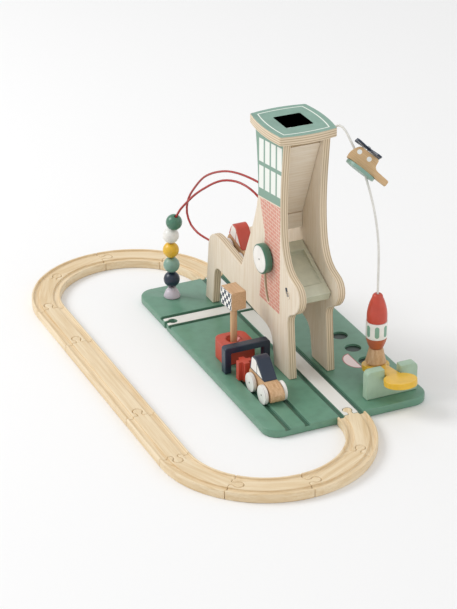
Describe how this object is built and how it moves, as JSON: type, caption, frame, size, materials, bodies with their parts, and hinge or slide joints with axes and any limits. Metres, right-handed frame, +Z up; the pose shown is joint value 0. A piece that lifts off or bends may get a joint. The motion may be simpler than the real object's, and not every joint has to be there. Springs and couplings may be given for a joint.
{
  "type": "wooden train set",
  "caption": "Wooden train set: a grooved play board with a tower, launcher, mallet block, arch and cars, closed into a loop by grooved wooden track.",
  "frame": {"origin": "on the floor, under the middle of the board's main rail", "axes": "+X along the board towards the front of the tower, +Y towards the rocket, +Z up"},
  "size_m": [0.714, 0.377, 0.3455],
  "materials": {
    "board_paint": "satin water-based paint on board",
    "plywood": "clear-lacquered birch plywood, edges bare",
    "sage_paint": "satin paint",
    "green_paint": "satin paint",
    "white_paint": "satin paint",
    "beech": "clear-lacquered beech",
    "red_wire": "gloss enamel on steel wire",
    "white_wire": "gloss enamel on steel wire",
    "lavender_paint": "satin paint",
    "navy_paint": "satin paint",
    "yellow_paint": "satin paint",
    "steel": "bright steel pin",
    "orange_paint": "satin paint",
    "red_paint": "satin paint",
    "mint_paint": "satin paint",
    "track_wood": "clear-lacquered pale wood"
  },
  "bodies": {
    "set_base": {"base_board": "board_paint", "side_panel_left": "plywood", "side_panel_right": "plywood", "helipad_plate": "sage_paint", "shaft_board": "plywood", "wire_block": "plywood", "rear_board": "plywood", "rear_ramp": "plywood", "tray_dowel": "beech", "bead_wire": "red_wire", "loop_wire": "red_wire", "flight_wire": "white_wire", "bead_base": "lavender_paint", "lever_bracket": "mint_paint", "lever_pin": "steel", "block_holder": "red_paint", "wash_arch": "navy_paint", "roller_pin": "beech"},
    "tray": {"tipping_tray": "sage_paint", "lift_pin": "beech", "lift_knob": "green_paint", "knob_face": "white_paint"},
    "lever": {"launch_lever": "yellow_paint"},
    "stand": {"rocket_stand": "beech"},
    "rocket": {"rocket_tail": "orange_paint", "rocket_band": "white_paint", "rocket_nose": "red_paint"},
    "helicopter": {"helicopter_body": "beech", "helicopter_disc": "sage_paint", "rotor_pin": "steel"},
    "rotor": {"helicopter_rotor": "navy_paint"},
    "mallet": {"mallet_handle": "beech", "mallet_head": "beech"},
    "roller": {"wash_roller": "red_paint"},
    "front_car": {"front_car_body": "beech", "front_car_cabin": "navy_paint"},
    "front_car_nose_axle": {"front_car_front_wheels": "beech"},
    "front_car_tail_axle": {"front_car_rear_wheels": "beech"},
    "ramp_car": {"ramp_car_body": "beech", "ramp_car_cabin": "red_paint"},
    "ramp_car_nose_axle": {"ramp_car_front_wheels": "beech"},
    "ramp_car_tail_axle": {"ramp_car_rear_wheels": "beech"},
    "bead_navy": {"bead_navy": "navy_paint"},
    "bead_sage": {"bead_sage": "sage_paint"},
    "bead_yellow": {"bead_yellow": "yellow_paint"},
    "bead_white": {"bead_white": "white_paint"},
    "bead_green": {"bead_green": "green_paint"},
    "front_curve_1": {"front_curve_1": "track_wood"},
    "front_curve_2": {"front_curve_2": "track_wood"},
    "front_curve_3": {"front_curve_3": "track_wood"},
    "front_curve_4": {"front_curve_4": "track_wood"},
    "rear_curve_1": {"rear_curve_1": "track_wood"},
    "rear_curve_2": {"rear_curve_2": "track_wood"},
    "rear_curve_3": {"rear_curve_3": "track_wood"},
    "rear_curve_4": {"rear_curve_4": "track_wood"},
    "front_straight": {"front_straight": "track_wood"},
    "long_straight": {"long_straight": "track_wood"},
    "rear_straight": {"rear_straight": "track_wood"}
  },
  "joints": [
    {"name": "tray_tilt", "type": "hinge", "parent": "set_base", "child": "tray", "pos_m": [0.0996, 0, 0.1315], "axis": [0, 1, 0], "range_deg": [-52, 0]},
    {"name": "lever_tilt", "type": "hinge", "parent": "set_base", "child": "lever", "pos_m": [0.19, 0.069, 0.0383], "axis": [0, 1, 0], "range_deg": [0, 20]},
    {"name": "stand_rise", "type": "slide", "parent": "set_base", "child": "stand", "axis": [0, 0, 1], "range_m": [0, 0.016]},
    {"name": "rocket_flight", "type": "slide", "parent": "stand", "child": "rocket", "axis": [0, 0, 1], "range_m": [0, 0.035]},
    {"name": "helicopter_glide", "type": "hinge", "parent": "set_base", "child": "helicopter", "pos_m": [-0.07102, -0.00154, 0.18], "axis": [0.304, -0.9527, 0], "range_deg": [-20, 2]},
    {"name": "rotor_spin", "type": "hinge", "parent": "helicopter", "child": "rotor", "pos_m": [0.11242, 0.06888, 0.31955], "axis": [-0.0602, 0.7016, 0.71], "continuous": true},
    {"name": "mallet_lift", "type": "slide", "parent": "set_base", "child": "mallet", "axis": [0, 0, 1], "range_m": [0, 0.07]},
    {"name": "roller_spin", "type": "hinge", "parent": "set_base", "child": "roller", "pos_m": [0.077, -0.084, 0.012], "axis": [0, 0, 1], "continuous": true},
    {"name": "front_car_roll", "type": "slide", "parent": "set_base", "child": "front_car", "axis": [1, 0, 0], "range_m": [0, 0.05]},
    {"name": "front_car_nose_spin", "type": "hinge", "parent": "front_car", "child": "front_car_nose_axle", "pos_m": [0.142, -0.0745, 0.0223], "axis": [0, 1, 0], "continuous": true},
    {"name": "front_car_tail_spin", "type": "hinge", "parent": "front_car", "child": "front_car_tail_axle", "pos_m": [0.106, -0.0745, 0.0223], "axis": [0, 1, 0], "continuous": true},
    {"name": "ramp_car_roll", "type": "slide", "parent": "set_base", "child": "ramp_car", "axis": [0.9816, 0, -0.1908], "range_m": [-0.001, 0.07]},
    {"name": "ramp_car_nose_spin", "type": "hinge", "parent": "ramp_car", "child": "ramp_car_nose_axle", "pos_m": [-0.08885, 0, 0.09263], "axis": [0, 1, 0], "continuous": true},
    {"name": "ramp_car_tail_spin", "type": "hinge", "parent": "ramp_car", "child": "ramp_car_tail_axle", "pos_m": [-0.12419, 0, 0.0995], "axis": [0, 1, 0], "continuous": true},
    {"name": "navy_bead_spin", "type": "hinge", "parent": "set_base", "child": "bead_navy", "pos_m": [-0.18, -0.076, 0.012], "axis": [0, 0, 1], "continuous": true},
    {"name": "sage_bead_spin", "type": "hinge", "parent": "set_base", "child": "bead_sage", "pos_m": [-0.18, -0.076, 0.06145], "axis": [-0.0069, -0.0022, 1], "continuous": true},
    {"name": "yellow_bead_spin", "type": "hinge", "parent": "set_base", "child": "bead_yellow", "pos_m": [-0.18073, -0.07623, 0.08388], "axis": [-0.0346, -0.0108, 0.9993], "continuous": true},
    {"name": "white_bead_spin", "type": "hinge", "parent": "set_base", "child": "bead_white", "pos_m": [-0.18027, -0.07608, 0.10614], "axis": [0.1259, 0.0395, 0.9913], "continuous": true},
    {"name": "green_bead_spin", "type": "hinge", "parent": "set_base", "child": "bead_green", "pos_m": [-0.17345, -0.07395, 0.12853], "axis": [0.3966, 0.1243, 0.9096], "continuous": true},
    {"name": "front_curve_1_lift", "type": "slide", "parent": "set_base", "child": "front_curve_1", "axis": [0, 0, 1], "range_m": [0, 0.03]},
    {"name": "front_curve_2_lift", "type": "slide", "parent": "set_base", "child": "front_curve_2", "axis": [0, 0, 1], "range_m": [0, 0.03]},
    {"name": "front_curve_3_lift", "type": "slide", "parent": "set_base", "child": "front_curve_3", "axis": [0, 0, 1], "range_m": [0, 0.03]},
    {"name": "front_curve_4_lift", "type": "slide", "parent": "set_base", "child": "front_curve_4", "axis": [0, 0, 1], "range_m": [0, 0.03]},
    {"name": "rear_curve_1_lift", "type": "slide", "parent": "set_base", "child": "rear_curve_1", "axis": [0, 0, 1], "range_m": [0, 0.03]},
    {"name": "rear_curve_2_lift", "type": "slide", "parent": "set_base", "child": "rear_curve_2", "axis": [0, 0, 1], "range_m": [0, 0.03]},
    {"name": "rear_curve_3_lift", "type": "slide", "parent": "set_base", "child": "rear_curve_3", "axis": [0, 0, 1], "range_m": [0, 0.03]},
    {"name": "rear_curve_4_lift", "type": "slide", "parent": "set_base", "child": "rear_curve_4", "axis": [0, 0, 1], "range_m": [0, 0.03]},
    {"name": "front_straight_lift", "type": "slide", "parent": "set_base", "child": "front_straight", "axis": [0, 0, 1], "range_m": [0, 0.03]},
    {"name": "long_straight_lift", "type": "slide", "parent": "set_base", "child": "long_straight", "axis": [0, 0, 1], "range_m": [0, 0.03]},
    {"name": "rear_straight_lift", "type": "slide", "parent": "set_base", "child": "rear_straight", "axis": [0, 0, 1], "range_m": [0, 0.03]}
  ],
  "couplings": [
    {"joint": "stand_rise", "follows": "lever_tilt", "m_per_rad": 0.0422},
    {"joint": "front_car_nose_spin", "follows": "front_car_roll", "rad_per_m": 76.923},
    {"joint": "front_car_tail_spin", "follows": "front_car_roll", "rad_per_m": 76.923},
    {"joint": "ramp_car_nose_spin", "follows": "ramp_car_roll", "rad_per_m": 76.923},
    {"joint": "ramp_car_tail_spin", "follows": "ramp_car_roll", "rad_per_m": 76.923}
  ]
}
